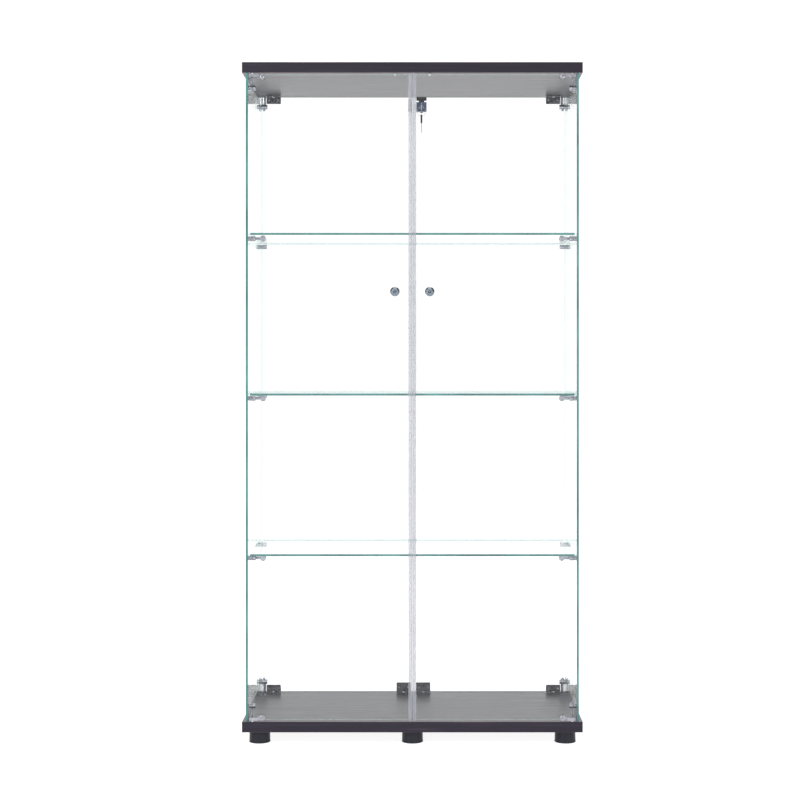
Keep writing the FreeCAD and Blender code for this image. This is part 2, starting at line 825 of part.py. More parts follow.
def make_spare_key(hole_z):
    head_top = hole_z + key_hole_inset
    head_bottom = head_top - spare_head_height
    head = block(
        lock_x - spare_head_thick / 2,
        lock_x + spare_head_thick / 2,
        key_hole_depth - spare_head_width / 2,
        key_hole_depth + spare_head_width / 2,
        head_bottom,
        head_top,
    )
    rounding = [edge for edge in head.Edges if edge.Length < spare_head_thick + 0.01]
    head = head.makeFillet(spare_head_width * 0.38, rounding)
    hole_start = point(lock_x - spare_head_thick, key_hole_depth, hole_z)
    hole = rod(key_hole_radius, hole_start, ALONG_X, spare_head_thick * 2)
    blade = block(
        lock_x - spare_blade_thick / 2,
        lock_x + spare_blade_thick / 2,
        key_hole_depth - spare_blade_width / 2,
        key_hole_depth + spare_blade_width / 2,
        head_bottom - spare_blade_length,
        head_bottom + spare_blade_bite,
    )
    save("spare_key_head", [head.cut(hole).cut(blade)])
    save("spare_key_blade", [blade])


os.makedirs("parts", exist_ok=True)
make_boards()
make_feet()
make_fixed_glass()
make_shelf_pegs()
make_connectors()
make_back_clips()
make_doors()
make_lock()
make_keys()
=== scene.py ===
import bmesh
import bpy
import math
from mathutils import Matrix, Vector


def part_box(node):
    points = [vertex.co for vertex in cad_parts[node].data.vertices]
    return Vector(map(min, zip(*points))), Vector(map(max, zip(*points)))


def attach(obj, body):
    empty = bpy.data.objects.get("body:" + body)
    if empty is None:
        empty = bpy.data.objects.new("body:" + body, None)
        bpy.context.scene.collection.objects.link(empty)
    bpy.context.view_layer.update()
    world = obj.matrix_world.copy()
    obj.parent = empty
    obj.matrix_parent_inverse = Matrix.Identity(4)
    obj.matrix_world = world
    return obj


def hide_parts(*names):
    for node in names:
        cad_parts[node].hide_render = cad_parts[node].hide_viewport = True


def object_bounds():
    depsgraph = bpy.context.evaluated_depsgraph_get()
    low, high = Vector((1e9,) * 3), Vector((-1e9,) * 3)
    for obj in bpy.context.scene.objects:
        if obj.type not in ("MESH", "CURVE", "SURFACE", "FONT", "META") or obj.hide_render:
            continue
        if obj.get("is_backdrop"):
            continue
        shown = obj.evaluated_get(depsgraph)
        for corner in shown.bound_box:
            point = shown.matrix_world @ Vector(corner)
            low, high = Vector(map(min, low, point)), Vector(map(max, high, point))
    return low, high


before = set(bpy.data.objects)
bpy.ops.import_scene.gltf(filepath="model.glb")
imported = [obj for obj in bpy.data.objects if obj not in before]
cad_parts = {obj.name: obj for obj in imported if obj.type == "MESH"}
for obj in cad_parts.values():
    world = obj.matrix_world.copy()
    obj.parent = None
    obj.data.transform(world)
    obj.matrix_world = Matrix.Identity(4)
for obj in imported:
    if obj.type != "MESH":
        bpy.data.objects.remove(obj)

cad_low, cad_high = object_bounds()

# ---------------------------------------------------------------- boards and edge bands
# The top and base boards are pressed particle board wrapped in a satin wenge-look foil. Their
# four narrow sides carry ironed-on edge band of the same print, and its arrises are painted a
# paler brown as a painted highlight. The grain runs across the case from side to side.


def new_finish(name, **values):
    """A material whose plain numbers and colours sit on its own shader."""
    finish = bpy.data.materials.new(name)
    finish.use_nodes = True
    shader = finish.node_tree.nodes["Principled BSDF"]
    for socket, value in values.items():
        shader.inputs[socket.replace("_", " ")].default_value = value
    return finish


def step(finish, kind, inputs, **settings):
    """One shader node; each input is a plain value or the socket that feeds it."""
    made = finish.node_tree.nodes.new(kind)
    for name, value in settings.items():
        setattr(made, name, value)
    for name, value in inputs.items():
        if isinstance(value, bpy.types.NodeSocket):
            finish.node_tree.links.new(value, made.inputs[name])
        else:
            made.inputs[name].default_value = value
    return made


def place_in(finish, scale):
    """The piece's own coordinates in metres, stretched by scale."""
    source = step(finish, "ShaderNodeTexCoord", {}).outputs["Object"]
    return step(finish, "ShaderNodeMapping", {"Vector": source, "Scale": scale}).outputs["Vector"]


def speckle(finish, scale, detail=4.0, roughness=0.6, distortion=0.0):
    """Noise from 0 to 1; scale is the number of spots per metre along x, y and z."""
    inputs = {
        "Vector": place_in(finish, scale),
        "Scale": 1.0,
        "Detail": detail,
        "Roughness": roughness,
        "Distortion": distortion,
    }
    return step(finish, "ShaderNodeTexNoise", inputs).outputs["Fac"]


def shades(finish, feed, stops):
    """A colour ramp through (place, colour) stops."""
    ramp = step(finish, "ShaderNodeValToRGB", {"Fac": feed})
    ramp.color_ramp.elements[0].position, ramp.color_ramp.elements[0].color = stops[0]
    ramp.color_ramp.elements[1].position, ramp.color_ramp.elements[1].color = stops[-1]
    for position, colour in stops[1:-1]:
        ramp.color_ramp.elements.new(position).color = colour
    return ramp.outputs["Color"]


def between(finish, feed, low, high):
    """Noise stretched from its usual 0.3 to 0.7 over the range low to high."""
    inputs = {"Value": feed, "From Min": 0.3, "From Max": 0.7, "To Min": low, "To Max": high}
    return step(finish, "ShaderNodeMapRange", inputs).outputs["Result"]


def bumps(finish, height, depth, strength=1.0):
    """A fine relief of this depth in metres, from a height of 0 to 1."""
    inputs = {"Height": height, "Distance": depth, "Strength": strength}
    return step(finish, "ShaderNodeBump", inputs).outputs["Normal"]


def surface(finish, **feeds):
    """Joins sockets to the shader's inputs."""
    shader = finish.node_tree.nodes["Principled BSDF"]
    for name, feed in feeds.items():
        finish.node_tree.links.new(feed, shader.inputs[name.replace("_", " ")])
    return finish


def wenge(name, dark, light, gloss_low, gloss_high):
    """Wenge print: long dark fibres with paler brown ones between, and fine open pores."""
    finish = new_finish(name, IOR=1.5, Specular_IOR_Level=0.38, Specular_Tint=(0.76, 0.79, 1.0, 1))
    fibres = speckle(finish, (5.0, 420.0, 420.0), 6.0, 0.65, 0.15)
    pores = speckle(finish, (38.0, 1500.0, 1500.0), 3.0, 0.7)
    bands = speckle(finish, (1.3, 24.0, 24.0), 2.0, 0.5, 0.4)
    streaks = shades(finish, fibres, [(0.36, dark), (0.53, dark), (0.66, light)])
    tone = shades(finish, bands, [(0.3, (0.72, 0.72, 0.74, 1)), (0.7, (1.12, 1.08, 1.06, 1))])
    both = {0: 1.0, 6: streaks, 7: tone}
    mixed = step(finish, "ShaderNodeMix", both, data_type="RGBA", blend_type="MULTIPLY")
    return surface(
        finish,
        Base_Color=mixed.outputs[2],
        Roughness=between(finish, fibres, gloss_high, gloss_low),
        Normal=bumps(finish, pores, 0.00006, 0.6),
    )


board_foil = wenge("board_foil", (0.013, 0.011, 0.016, 1), (0.040, 0.031, 0.037, 1), 0.24, 0.36)
band_print = wenge("band_print", (0.014, 0.010, 0.016, 1), (0.034, 0.024, 0.035, 1), 0.34, 0.48)
# The arris colour, a far paler brown than the band, is a painted highlight along the rounded edges.
band_painted_highlight = wenge("band_worn_arris", (0.105, 0.062, 0.062, 1), (0.20, 0.13, 0.125, 1), 0.42, 0.6)


def dress(node, *finishes):
    """Gives a CAD node these materials, the first on all its faces."""
    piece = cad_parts[node]
    piece.data.materials.clear()
    for finish in finishes:
        piece.data.materials.append(finish)
    piece.data.polygons.foreach_set("material_index", [0] * len(piece.data.polygons))
    return piece


def soften(piece, width, steps=2, arris=-1):
    """Rounds a piece's hard edges by modifiers, with its own material on them if it has one."""
    weld = piece.modifiers.new("weld", "WELD")
    weld.merge_threshold = 0.000002
    edge = piece.modifiers.new("soft_edges", "BEVEL")
    edge.width = width
    edge.segments = steps
    edge.limit_method = "ANGLE"
    edge.angle_limit = math.radians(40)
    edge.material = arris
    edge.harden_normals = True
    return piece


for board in ("top_board", "base_board"):
    dress(board, board_foil)
for band in ("top_edge_band", "base_edge_band"):
    # The rounded arrises of each band carry that paler colour: a painted highlight.
    soften(dress(band, band_print, band_painted_highlight), 0.0005, 2, 1)

# ---------------------------------------------------------------- feet
# Six black feet, moulded in one piece with a thin rim where they meet the floor and a deep
# socket below for the screw that holds each one to the base board.


def solids_of(node):
    """The lowest and highest corner of each separate solid in a CAD node."""
    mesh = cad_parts[node].data
    parent = {}

    def top(key):
        while parent[key] != key:
            parent[key] = parent[parent[key]]
            key = parent[key]
        return key

    keys = [tuple(round(c * 1e5) for c in vertex.co) for vertex in mesh.vertices]
    for key in keys:
        parent[key] = key
    for face in mesh.polygons:
        first = top(keys[face.vertices[0]])
        for index in face.vertices[1:]:
            parent[top(keys[index])] = first
    groups = {}
    for key, vertex in zip(keys, mesh.vertices):
        groups.setdefault(top(key), []).append(vertex.co)
    boxes = []
    for points in groups.values():
        low = Vector([min(p[i] for p in points) for i in range(3)])
        high = Vector([max(p[i] for p in points) for i in range(3)])
        boxes.append((low, high))
    return sorted(boxes, key=lambda box: tuple(round(c, 4) for c in box[0]))


def eased(profile, radius, steps=3):
    """The same outline with each inner corner rounded by up to radius."""
    points = [Vector(profile[0])]
    for before, corner, after in zip(profile, profile[1:], profile[2:]):
        before, corner, after = Vector(before), Vector(corner), Vector(after)
        reach = min(radius, (before - corner).length * 0.45, (after - corner).length * 0.45)
        start = corner + (before - corner).normalized() * reach
        end = corner + (after - corner).normalized() * reach
        for number in range(steps + 1):
            t = number / steps
            points.append(start * (1 - t) ** 2 + corner * (2 * t * (1 - t)) + end * t ** 2)
    points.append(Vector(profile[-1]))
    return points


def smooth(mesh, angle=35):
    """Smooth shading, with edges sharper than this angle in degrees kept crisp."""
    mesh.polygons.foreach_set("use_smooth", [True] * len(mesh.polygons))
    mesh.set_sharp_from_angle(angle=math.radians(angle))
    return mesh


def turned(name, profile, finish, around=64):
    """A mesh turned round +Z from (height, radius) points that start and end on the axis."""
    shape = bmesh.new()
    rings = []
    for height, radius in profile:
        if radius < 1e-7:
            rings.append([shape.verts.new((0, 0, height))])
            continue
        ring = []
        for number in range(around):
            angle = 2 * math.pi * number / around
            ring.append(shape.verts.new((radius * math.cos(angle), radius * math.sin(angle), height)))
        rings.append(ring)
    for lower, upper in zip(rings, rings[1:]):
        for number in range(around):
            after = (number + 1) % around
            corners = [
                lower[number % len(lower)],
                lower[after % len(lower)],
                upper[after % len(upper)],
                upper[number % len(upper)],
            ]
            corners = list(dict.fromkeys(corners))
            if len(corners) > 2:
                shape.faces.new(corners)
    bmesh.ops.recalc_face_normals(shape, faces=shape.faces)
    mesh = bpy.data.meshes.new(name)
    shape.to_mesh(mesh)
    shape.free()
    mesh.materials.append(finish)
    return smooth(mesh)


def stand(name, mesh, at, axis, body, node):
    """A piece with this mesh, its +Z turned to axis, on its body in place of its CAD node."""
    piece = bpy.data.objects.new(name, mesh)
    bpy.context.scene.collection.objects.link(piece)
    turn = Vector((0, 0, 1)).rotation_difference(Vector(axis)).to_matrix().to_4x4()
    piece.matrix_world = Matrix.Translation(at) @ turn
    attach(piece, body)
    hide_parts(node)
    return piece


foot_plastic = new_finish(
    "foot_plastic", IOR=1.5, Specular_IOR_Level=0.35, Specular_Tint=(0.88, 0.90, 1.0, 1)
)
foot_grain = speckle(foot_plastic, (1400.0, 1400.0, 1400.0), 2.0)
foot_cloud = speckle(foot_plastic, (60.0, 60.0, 60.0), 3.0)
foot_black = (0.006, 0.006, 0.010, 1)
foot_grey = (0.012, 0.012, 0.018, 1)
foot_shade = shades(foot_plastic, foot_cloud, [(0.3, foot_black), (0.7, foot_grey)])
surface(
    foot_plastic,
    Base_Color=foot_shade,
    Roughness=between(foot_plastic, foot_cloud, 0.34, 0.48),
    Normal=bumps(foot_plastic, foot_grain, 0.00008, 0.5),
)
foot_low, foot_high = solids_of("feet_front")[0]
foot_radius = (foot_high.x - foot_low.x) / 2
foot_height = foot_high.z - foot_low.z
socket_radius = 0.0075
socket_depth = foot_height * 0.6
socket_lead = 0.0012
rim_height = 0.0025
rim_step = 0.0006
foot_taper = 0.0010
foot_profile = [
    (socket_depth, 0.0),
    (socket_depth, socket_radius),
    (socket_lead, socket_radius),
    (0.0, socket_radius + socket_lead),
    (0.0, foot_radius - 0.0010),
    (0.0008, foot_radius),
    (rim_height, foot_radius),
    (rim_height + rim_step, foot_radius - rim_step),
    (foot_height - 0.0016, foot_radius - foot_taper),
    (foot_height, foot_radius - foot_taper - 0.0012),
    (foot_height, 0.0),
]
foot_mesh = turned("moulded_foot", eased(foot_profile, 0.0004), foot_plastic, 96)
for row in ("front", "back"):
    for place, (low, high) in zip(("left", "middle", "right"), solids_of("feet_" + row)):
        middle = (low + high) / 2
        spot = (middle.x, middle.y, low.z)
        stand(f"foot_{row}_{place}", foot_mesh, spot, (0, 0, 1), "cabinet", "feet_" + row)

# ---------------------------------------------------------------- fixed glass
# Clear tempered float glass, 5 mm thick: two sides, two back panes that meet at the middle,
# and three shelves. The faces are nearly colourless. The ground and polished edges are sea-green,
# painted deep where they face the front as painted shade, and paler and partly see-through elsewhere as
# painted light.



def clear_glass(name, at_glance):
    """Nothing but a reflection, faint straight on and up to at_glance along the pane."""
    finish = new_finish(name, Base_Color=(0.95, 1.0, 0.99, 1), Metallic=1.0)
    film = speckle(finish, (6.0, 6.0, 6.0), 4.0)
    slant = step(finish, "ShaderNodeLayerWeight", {"Blend": 0.5}).outputs["Facing"]
    steep = step(finish, "ShaderNodeMath", {0: slant, 1: 5.0}, operation="POWER").outputs["Value"]
    straight_on = 0.022
    share = {"Value": steep, "To Min": straight_on, "To Max": at_glance}
    mirrored = step(finish, "ShaderNodeMapRange", share).outputs["Result"]
    return surface(finish, Alpha=mirrored, Roughness=between(finish, film, 0.0, 0.02))


pane_face = clear_glass("clear_pane", 1.0)
shelf_face = clear_glass("clear_shelf", 0.42)


def ground_edge(name, deep, pale, solid):
    """A polished edge: sea-green that drifts lighter and darker along the pane."""
    finish = new_finish(name, IOR=1.5, Alpha=solid, Coat_Weight=0.5, Coat_Roughness=0.05)
    drift = speckle(finish, (9.0, 60.0, 9.0), 3.0)
    grinding = speckle(finish, (900.0, 900.0, 900.0), 2.0)
    return surface(
        finish,
        Base_Color=shades(finish, drift, [(0.32, deep), (0.68, pale)]),
        Roughness=between(finish, drift, 0.06, 0.16),
        Normal=bumps(finish, grinding, 0.00002, 0.4),
    )


# One edge colour in two copies: deep on the edges that face the front as painted shade, paler and partly
# see-through on the rest as painted light.
front_edge_painted_shade = ground_edge("glass_front_edge", (0.010, 0.095, 0.095, 1), (0.055, 0.235, 0.220, 1), 1.0)
far_edge_painted_light = ground_edge("glass_far_edge", (0.10, 0.32, 0.31, 1), (0.20, 0.46, 0.44, 1), 0.58)


def glaze(node, through, face_finish):
    """Clear faces across the pane's thickness, which is along through; edges front and back."""
    piece = dress(node, face_finish, front_edge_painted_shade, far_edge_painted_light)
    kinds = []
    for face in piece.data.polygons:
        if abs(face.normal.dot(through)) > 0.9:
            kinds.append(0)
        else:
            # Edges facing the front get the painted shade copy; all other edges get the painted light copy.
            kinds.append(1 if face.normal.y < -0.5 else 2)
    piece.data.polygons.foreach_set("material_index", kinds)
    return piece


for pane in ("side_glass_left", "side_glass_right"):
    glaze(pane, Vector((1, 0, 0)), pane_face)
for pane in ("back_glass_left", "back_glass_right"):
    glaze(pane, Vector((0, 1, 0)), pane_face)
for pane in ("shelf_upper", "shelf_middle", "shelf_lower"):
    glaze(pane, Vector((0, 0, 1)), shelf_face)

# ---------------------------------------------------------------- shelf pegs
# Chromed brass pegs through the side glass: a domed cap outside, a barrel inside, and on the
# front ones a slim neck to a round end with a cross slot. A clear pad lies between each
# barrel and its shelf.


def plated(name, low, high, rough_low, rough_high, scratch=0.00001):
    """Bright plating with cloudy tone, fine scratches and a few worn spots."""
    finish = new_finish(name, Metallic=1.0, IOR=1.5)
    cloud = speckle(finish, (90.0, 90.0, 90.0), 4.0)
    lines = speckle(finish, (300.0, 2600.0, 300.0), 3.0)
    return surface(
        finish,
        Base_Color=shades(finish, cloud, [(0.3, low), (0.7, high)]),
        Roughness=between(finish, cloud, rough_low, rough_high),
        Normal=bumps(finish, lines, scratch, 0.5),
    )


def carve(mesh, cutters):
    """Takes the cutters' shapes out of a mesh, and throws the cutters away."""
    piece = bpy.data.objects.new("carving", mesh)
    bpy.context.scene.collection.objects.link(piece)
    tools = []
    for cutter in cutters:
        tool = bpy.data.objects.new("cutter", cutter)
        bpy.context.scene.collection.objects.link(tool)
        tools.append(tool)
        cut = piece.modifiers.new("cut", "BOOLEAN")
        cut.operation = "DIFFERENCE"
        cut.solver = "EXACT"
        cut.object = tool
    bpy.context.view_layer.update()
    view = piece.evaluated_get(bpy.context.evaluated_depsgraph_get())
    carved = bpy.data.meshes.new_from_object(view)
    carved.name = mesh.name + "_cut"
    for tool in tools + [piece]:
        bpy.data.objects.remove(tool)
    return smooth(carved)


def bar_mesh(half_x, half_y, low, high, turn=0.0):
    """A plain bar along Z, used only to cut with."""
    shape = bmesh.new()
    bmesh.ops.create_cube(shape, size=1.0)
    size = Matrix.Diagonal((half_x * 2, half_y * 2, high - low, 1.0))
    move = Matrix.Translation((0, 0, (low + high) / 2))
    bmesh.ops.transform(shape, matrix=move @ Matrix.Rotation(turn, 4, "Z") @ size, verts=shape.verts)
    mesh = bpy.data.meshes.new("cutting_bar")
    shape.to_mesh(mesh)
    shape.free()
    return mesh


def crossed(mesh, reach, width, top, depth):
    """Cuts a cross recess into the top of a turned mesh."""
    bars = [bar_mesh(reach, width / 2, top - depth, top + 0.002, turn) for turn in (0.0, math.pi / 2)]
    return carve(mesh, bars)


chrome = plated("chrome_fixing", (0.26, 0.27, 0.31, 1), (0.50, 0.50, 0.55, 1), 0.08, 0.18)
clear_pad = new_finish("clear_pad", IOR=1.45, Alpha=0.55)
pad_bloom = speckle(clear_pad, (700.0, 700.0, 700.0), 3.0)
surface(
    clear_pad,
    Base_Color=shades(clear_pad, pad_bloom, [(0.3, (0.66, 0.71, 0.73, 1)), (0.7, (0.84, 0.88, 0.89, 1))]),
    Roughness=between(clear_pad, pad_bloom, 0.22, 0.40),
    Normal=bumps(clear_pad, pad_bloom, 0.00005, 0.5),
)

cap_low, cap_high = solids_of("fixing_caps")[0]
cap_radius = (cap_high.z - cap_low.z) / 2
cap_thick = cap_high.x - cap_low.x
dome_fall = 0.0014
dome_run = 0.0022
dimple_radius = 0.0017
dimple_depth = 0.0008
cap_profile = [
    (0.0, 0.0),
    (0.0, cap_radius - 0.0002),
    (0.0003, cap_radius),
    (cap_thick - dome_fall, cap_radius),
    (cap_thick - 0.0004, cap_radius - 0.0007),
    (cap_thick, cap_radius - dome_run),
    (cap_thick, dimple_radius),
    (cap_thick - dimple_depth, dimple_radius - 0.0007),
    (cap_thick - dimple_depth, 0.0),
]
cap_mesh = turned("domed_cap", eased(cap_profile, 0.0005), chrome)
for number, (low, high) in enumerate(solids_of("fixing_caps")):
    middle = (low + high) / 2
    outward = 1 if middle.x > 0 else -1
    spot = (low.x if outward > 0 else high.x, middle.y, middle.z)
    name = f"fixing_cap_{number}"
    stand(name, cap_mesh, spot, (outward, 0, 0), "cabinet", "fixing_caps")

side_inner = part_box("side_glass_right")[0].x
side_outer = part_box("side_glass_right")[1].x
connector_low, connector_high = solids_of("glass_connectors")[-1]
barrel_length = side_inner - connector_low.x
front_radius = (connector_high.z - connector_low.z) / 2
back_low, back_high = solids_of("back_shelf_pegs")[-1]
back_radius = (back_high.z - back_low.z) / 2
stud_radius = 0.0035
stud_end = barrel_length + side_outer - side_inner + 0.0020
barrel_chamfer = 0.0008
groove_start = barrel_length - 0.0036
groove_end = barrel_length - 0.0024
groove_slope = 0.0003
groove_depth = 0.0004


def barrel_profile(radius):
    """Along the axis from the inner end, with a groove, to the stud's end in the cap."""
    return [
        (0.0, 0.0),
        (0.0, radius - barrel_chamfer),
        (barrel_chamfer, radius),
        (groove_start, radius),
        (groove_start + groove_slope, radius - groove_depth),
        (groove_end - groove_slope, radius - groove_depth),
        (groove_end, radius),
        (barrel_length, radius),
        (barrel_length, stud_radius),
        (stud_end, stud_radius),
        (stud_end, 0.0),
    ]


for side in (-1, 1):
    hand = "right" if side > 0 else "left"
    start_x = side * (side_inner - barrel_length)
    for node in ("front_shelf_pegs", "back_shelf_pegs"):
        row = node.split("_")[0]
        radius = front_radius if row == "front" else back_radius
        pegs = sorted((box for box in solids_of(node) if box[0].x * side > 0), key=lambda box: box[0].z)
        for level, (low, high) in zip(("lower", "middle", "upper"), pegs):
            middle = (low + high) / 2
            barrel = turned(f"{row}_peg_barrel", eased(barrel_profile(radius), 0.0002), chrome, 48)
            name = f"{row}_peg_{level}_{hand}"
            at = (start_x, middle.y, middle.z)
            stand(name, barrel, at, (side, 0, 0), "cabinet", node)

peg_low, peg_high = solids_of("front_shelf_pegs")[-1]
end_radius = (peg_high.z - peg_low.z) / 2
end_reach = side_inner - peg_low.x - end_radius
end_thick = 0.0100
neck_length = end_reach - barrel_length
neck_waist = stud_radius - 0.0004
waist_length = 0.0060
neck_profile = [
    (0.0, 0.0),
    (0.0, neck_waist),
    (waist_length, neck_waist),
    (waist_length + 0.0015, stud_radius),
    (neck_length, stud_radius),
    (neck_length, 0.0),
]
neck_mesh = turned("peg_neck", eased(neck_profile, 0.0005), chrome, 40)
end_profile = [
    (0.0, 0.0),
    (0.0, end_radius - 0.0010),
    (0.0010, end_radius),
    (end_thick - 0.0012, end_radius),
    (end_thick, end_radius - 0.0014),
    (end_thick, 0.0),
]
end_blank = turned("peg_end", eased(end_profile, 0.0006), chrome)
end_mesh = crossed(end_blank, reach=0.0036, width=0.0013, top=end_thick, depth=0.0013)
neck_bite = 0.0004
for number, (low, high) in enumerate(solids_of("front_shelf_pegs")):
    side = 1 if low.x > 0 else -1
    middle = (low + high) / 2
    end_x = side * (side_inner - end_reach)
    at = (end_x + side * (end_radius - neck_bite), middle.y, middle.z)
    name = f"peg_neck_{number}"
    neck = stand(name, neck_mesh, at, (side, 0, 0), "cabinet", "front_shelf_pegs")
    neck.scale.z = (neck_length - end_radius + neck_bite) / neck_length
    at = (end_x, middle.y + end_thick / 2, middle.z)
    stand(f"peg_end_{number}", end_mesh, at, (0, -1, 0), "cabinet", "front_shelf_pegs")
soften(dress("shelf_pads", clear_pad), 0.0003, 2)

# ---------------------------------------------------------------- glass-to-board connectors
# Near every corner a chromed barrel on the side glass is drilled through for an upright
# steel stud, which screws into the board and pulls the glass against it. The rear studs carry
# a wide collar between the board and the barrel.

case_middle = (cad_low.z + cad_high.z) / 2


def ribbed(profile, start, end, pitch, depth):
    """Adds the grooves of a screw thread to a turned outline between start and end."""
    radius = profile[-1][1]
    height = start
    while height + pitch < end:
        profile.append((height, radius))
        profile.append((height + pitch * 0.5, radius - depth))
        height += pitch
    profile.append((height, radius))
    return profile


stud_tip = 0.0050
thread_pitch = 0.0008
thread_depth = 0.00035
thread_runout = 0.0012
stud_chamfer = 0.0005
collar_chamfer = 0.0004
bore_gap = 0.0001
bore_reach = 0.02
start_x = side_inner - barrel_length
for number, (low, high) in enumerate(solids_of("connector_studs")):
    middle = (low + high) / 2
    side = 1 if middle.x > 0 else -1
    upward = 1 if middle.z < case_middle else -1
    length = high.z - low.z
    widest = (high.x - low.x) / 2
    collared = widest > stud_radius + stud_chamfer
    core = stud_radius if collared else widest
    board_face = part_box("base_board")[1].z if upward > 0 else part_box("top_board")[0].z
    sunk = abs(board_face - (low.z if upward > 0 else high.z))
    barrel_start = length - stud_tip - 2 * front_radius
    outline = [(0.0, 0.0), (0.0, core - stud_chamfer), (stud_chamfer, core)]
    if collared:
        outline += [
            (sunk, core),
            (sunk, widest - collar_chamfer),
            (sunk + collar_chamfer, widest),
            (barrel_start - collar_chamfer, widest),
            (barrel_start, widest - collar_chamfer),
            (barrel_start, core),
        ]
    thread_start = barrel_start if collared else sunk
    outline = ribbed(outline, thread_start, length - thread_runout, thread_pitch, thread_depth)
    outline += [(length - 0.0002, core - 0.0007), (length, core - thread_runout), (length, 0.0)]
    stud = turned("connector_stud", outline, chrome, 48)
    at = (middle.x, middle.y, low.z if upward > 0 else high.z)
    stand(f"stud_{number}", stud, at, (0, 0, upward), "cabinet", "connector_studs")

    barrel = turned("connector_barrel", eased(barrel_profile(front_radius), 0.0002), chrome, 64)
    hole = core + bore_gap
    bore_profile = [(-bore_reach, 0.0), (-bore_reach, hole), (bore_reach, hole), (bore_reach, 0.0)]
    bore = turned("stud_bore", bore_profile, chrome, 40)
    across_barrel = Matrix.Rotation(math.pi / 2, 4, "Y")
    bore.transform(Matrix.Translation((0, 0, abs(middle.x) - start_x)) @ across_barrel)
    height = board_face + upward * (length - sunk - stud_tip - front_radius)
    at = (side * start_x, middle.y, height)
    name = f"connector_{number}"
    drilled = carve(barrel, [bore])
    stand(name, drilled, at, (side, 0, 0), "cabinet", "glass_connectors")

# ---------------------------------------------------------------- clips for the back glass
# Dark zinc-plated steel clips. Each is screwed to a board by one bright pan-head screw and
# holds a back pane between its two walls, with two small grub screws pressing on the glass.

clip_steel = plated("clip_steel", (0.060, 0.061, 0.072, 1), (0.165, 0.165, 0.190, 1), 0.22, 0.38, 0.00002)
bright_screw = plated("bright_screw", (0.46, 0.47, 0.50, 1), (0.70, 0.71, 0.74, 1), 0.12, 0.26)
for node in sorted(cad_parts):
    if node.startswith("back_clip_top_c") or node.startswith("back_clip_bottom_c"):
        soften(dress(node, clip_steel), 0.0004, 3)


def screw_mesh(name, head_radius, head_height, shank_radius, shank_length, finish=bright_screw):
    """A pan-head cross-recess screw with its head's top at +Z and its shank below."""
    tip = 0.0008
    pitch = 0.0009
    profile = [(-shank_length, 0.0), (-shank_length, shank_radius - 0.0006)]
    profile.append((-shank_length + tip, shank_radius))
    profile = ribbed(profile, -shank_length + pitch, -0.0012, pitch, 0.0003)
    profile += [
        (-0.0002, shank_radius),
        (0.0, shank_radius),
        (0.0, head_radius - 0.0002),
        (0.0003, head_radius),
        (head_height * 0.45, head_radius),
        (head_height * 0.86, head_radius * 0.78),
        (head_height, head_radius * 0.45),
        (head_height, 0.0),
    ]
    body = turned(name, profile, finish, 48)
    return crossed(body, head_radius * 0.6, head_radius * 0.26, head_height, head_height * 0.6)


clip_head = 0.0026
clip_screw = screw_mesh("clip_screw", 0.0044, clip_head, shank_radius=0.0020, shank_length=0.0130)
for number, (low, high) in enumerate(solids_of("back_clip_screws")):
    middle = (low + high) / 2
    upward = 1 if middle.z < case_middle else -1
    seat = high.z - clip_head if upward > 0 else low.z + clip_head
    at = (middle.x, middle.y, seat)
    name = f"clip_screw_{number}"
    stand(name, clip_screw, at, (0, 0, upward), "cabinet", "back_clip_screws")

grub_low, grub_high = solids_of("back_clip_grub_screws")[0]
grub_radius = (grub_high.x - grub_low.x) / 2
grub_length = grub_high.y - grub_low.y
grub_chamfer = 0.0004
grub_profile = [
    (0.0, 0.0),
    (0.0, grub_radius),
    (grub_length - grub_chamfer, grub_radius),
    (grub_length, grub_radius - grub_chamfer),
    (grub_length, 0.0),
]
grub_blank = turned("grub_screw", grub_profile, bright_screw, 40)
grub_mesh = crossed(grub_blank, reach=0.0015, width=0.0007, top=grub_length, depth=0.0012)
for number, (low, high) in enumerate(solids_of("back_clip_grub_screws")):
    middle = (low + high) / 2
    at = (middle.x, high.y, middle.z)
    name = f"grub_screw_{number}"
    stand(name, grub_mesh, at, (0, -1, 0), "cabinet", "back_clip_grub_screws")
dress("foot_screws", bright_screw)

# ---------------------------------------------------------------- doors
# Two doors of the same 5 mm glass. Each turns on steel pins in chromed clamps at its outer
# corners, which run in nylon bushes in the boards. A frosted PVC strip is pushed over each
# meeting edge and keeps dust out.

for pane in ("door_glass_left", "door_glass_right"):
    glaze(pane, Vector((0, 1, 0)), pane_face)

hinge_chrome = plated("hinge_chrome", (0.22, 0.22, 0.25, 1), (0.42, 0.42, 0.46, 1), 0.10, 0.22)
nylon = new_finish("nylon_bush", IOR=1.5)
nylon_cloud = speckle(nylon, (500.0, 500.0, 500.0), 3.0)
surface(
    nylon,
    Base_Color=shades(nylon, nylon_cloud, [(0.3, (0.36, 0.36, 0.37, 1)), (0.7, (0.48, 0.48, 0.49, 1))]),
    Roughness=between(nylon, nylon_cloud, 0.40, 0.55),
)
dress("pivot_bushes", nylon)
for side in ("left", "right"):
    for end in ("top", "bottom"):
        soften(dress(f"hinge_shoe_{end}_{side}", hinge_chrome), 0.0004, 3)
    dress(f"hinge_pins_{side}", bright_screw)

clamp_head = 0.0020
clamp_screw = screw_mesh("clamp_screw", 0.0050, clamp_head, 0.0024, 0.0090, hinge_chrome)
for side in ("left", "right"):
    for number, (low, high) in enumerate(solids_of("hinge_screws_" + side)):
        middle = (low + high) / 2
        at = (middle.x, low.y + clamp_head, middle.z)
        name = f"clamp_screw_{side}_{number}"
        stand(name, clamp_screw, at, (0, -1, 0), side + "_door", "hinge_screws_" + side)

